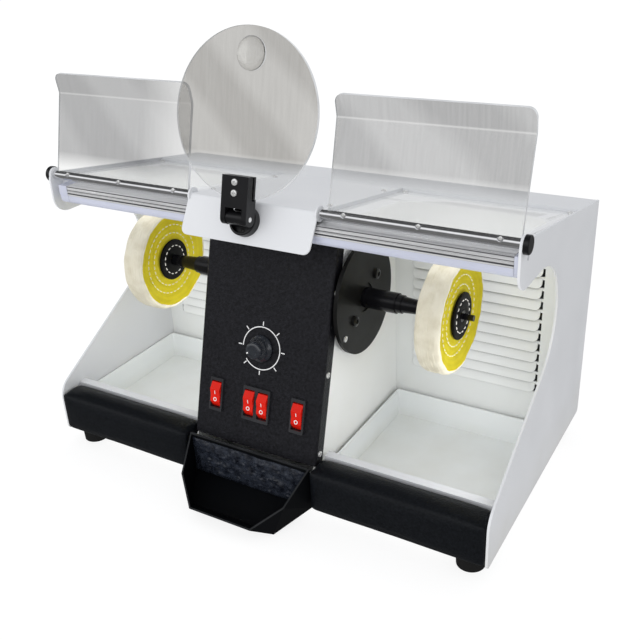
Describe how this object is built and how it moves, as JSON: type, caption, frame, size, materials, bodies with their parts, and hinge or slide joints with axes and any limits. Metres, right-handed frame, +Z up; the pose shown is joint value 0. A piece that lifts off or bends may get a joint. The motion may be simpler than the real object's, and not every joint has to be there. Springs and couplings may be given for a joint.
{
  "type": "polishing machine",
  "caption": "Bench polishing cabinet with a centre column, spindle-driven buff wheels in open chambers, tilting clear shields, lamps, a tilting magnifier and lift-out trays.",
  "frame": {"origin": "on the table under the middle of the machine's outline", "axes": "+X along the spindle to the right as seen from the front, +Y from the front to the back, +Z up"},
  "size_m": [0.4586, 0.307, 0.4063],
  "materials": {
    "white_sheet": "fine powder coat",
    "black_sheet": "textured powder coat",
    "clear_acrylic": "clear, polished",
    "lens_acrylic": "clear, polished",
    "cushion": "grained leatherette",
    "rubber_black": "matt",
    "chrome_rod": "polished",
    "steel_screws": "bright",
    "black_bolts": "black oxide",
    "lamp_aluminium": "drawn, satin",
    "diffuser": "milky, satin",
    "spindle_black": "black oxide, polished",
    "motor_steel": "plain",
    "motor_alloy": "cast",
    "buff_cloth": "stitched cotton",
    "washer_leather": "stitched",
    "filter_cloth": "needled felt",
    "fan_plastic": "moulded",
    "black_plastic": "moulded, satin",
    "rocker_red": "glossy"
  },
  "bodies": {
    "cabinet": {"armrest_left": "cushion", "armrest_right": "cushion", "base_pan": "white_sheet", "bearing_flanges": "black_sheet", "bridge_plate": "white_sheet", "catch_scoop": "black_sheet", "column_wall_left": "white_sheet", "column_wall_right": "white_sheet", "fan_frames": "fan_plastic", "filter_pads": "filter_cloth", "flange_bolts": "black_bolts", "front_panel": "black_sheet", "lamp_bodies": "lamp_aluminium", "lamp_diffusers": "diffuser", "louver_panel_left": "white_sheet", "louver_panel_right": "white_sheet", "magnifier_base": "black_plastic", "magnifier_pin": "steel_screws", "motor_end_bells": "motor_alloy", "motor_housing": "motor_steel", "motor_stator": "motor_steel", "panel_screws": "steel_screws", "power_inlet": "black_plastic", "rear_panel": "white_sheet", "rubber_feet": "rubber_black", "scoop_liner": "rubber_black", "shaft_bearings": "steel_screws", "side_panel_left": "white_sheet", "side_panel_right": "white_sheet", "speed_control": "black_plastic", "switch_bezels": "black_plastic", "top_panel": "white_sheet", "top_screws": "steel_screws", "window_panes": "clear_acrylic"},
    "spindle": {"motor_rotor": "motor_steel", "spindle_left": "spindle_black", "spindle_right": "spindle_black", "buff_wheel_left": "buff_cloth", "buff_wheel_right": "buff_cloth", "wheel_washers": "washer_leather"},
    "magnifier": {"magnifier_clamp": "black_plastic", "clamp_screws": "steel_screws", "magnifier_lens": "lens_acrylic"},
    "knob": {"speed_knob": "black_plastic"},
    "shield_left": {"shield_left": "clear_acrylic", "shield_rod_left": "chrome_rod", "shield_screws_left": "steel_screws", "rod_knob_left": "black_plastic"},
    "tray_left": {"chip_tray_left": "white_sheet"},
    "fan_left": {"fan_rotor_left": "fan_plastic"},
    "shield_right": {"shield_right": "clear_acrylic", "shield_rod_right": "chrome_rod", "shield_screws_right": "steel_screws", "rod_knob_right": "black_plastic"},
    "tray_right": {"chip_tray_right": "white_sheet"},
    "fan_right": {"fan_rotor_right": "fan_plastic"},
    "rocker_vacuum_left": {"rocker_vacuum_left": "rocker_red"},
    "rocker_light": {"rocker_light": "rocker_red"},
    "rocker_power": {"rocker_power": "rocker_red"},
    "rocker_vacuum_right": {"rocker_vacuum_right": "rocker_red"}
  },
  "joints": [
    {"name": "spindle_spin", "type": "hinge", "parent": "cabinet", "child": "spindle", "pos_m": [0, -0.0109, 0.1786], "axis": [1, 0, 0], "continuous": true},
    {"name": "magnifier_tilt", "type": "hinge", "parent": "cabinet", "child": "magnifier", "pos_m": [0, -0.08763, 0.26557], "axis": [1, 0, 0], "range_deg": [-15, 75]},
    {"name": "speed_turn", "type": "hinge", "parent": "cabinet", "child": "knob", "pos_m": [0, -0.07019, 0.14039], "axis": [0, 0.9608, -0.2773], "range_deg": [0, 280]},
    {"name": "shield_left_tilt", "type": "hinge", "parent": "cabinet", "child": "shield_left", "pos_m": [0, -0.064, 0.27], "axis": [1, 0, 0], "range_deg": [-70, 85]},
    {"name": "tray_left_lift", "type": "slide", "parent": "cabinet", "child": "tray_left", "axis": [0, 0, 1], "range_m": [0, 0.06]},
    {"name": "fan_left_spin", "type": "hinge", "parent": "cabinet", "child": "fan_left", "pos_m": [-0.14315, 0.14, 0.122], "axis": [0, 1, 0], "continuous": true},
    {"name": "shield_right_tilt", "type": "hinge", "parent": "cabinet", "child": "shield_right", "pos_m": [0, -0.064, 0.27], "axis": [1, 0, 0], "range_deg": [-70, 85]},
    {"name": "tray_right_lift", "type": "slide", "parent": "cabinet", "child": "tray_right", "axis": [0, 0, 1], "range_m": [0, 0.06]},
    {"name": "fan_right_spin", "type": "hinge", "parent": "cabinet", "child": "fan_right", "pos_m": [0.14315, 0.14, 0.122], "axis": [0, 1, 0], "continuous": true},
    {"name": "rocker_vacuum_left_tilt", "type": "hinge", "parent": "cabinet", "child": "rocker_vacuum_left", "pos_m": [-0.043, -0.08156, 0.09018], "axis": [1, 0, 0], "range_deg": [-18, 0]},
    {"name": "rocker_light_tilt", "type": "hinge", "parent": "cabinet", "child": "rocker_light", "pos_m": [-0.007, -0.08156, 0.09018], "axis": [1, 0, 0], "range_deg": [-18, 0]},
    {"name": "rocker_power_tilt", "type": "hinge", "parent": "cabinet", "child": "rocker_power", "pos_m": [0.007, -0.08156, 0.09018], "axis": [1, 0, 0], "range_deg": [-18, 0]},
    {"name": "rocker_vacuum_right_tilt", "type": "hinge", "parent": "cabinet", "child": "rocker_vacuum_right", "pos_m": [0.043, -0.08156, 0.09018], "axis": [1, 0, 0], "range_deg": [-18, 0]}
  ]
}
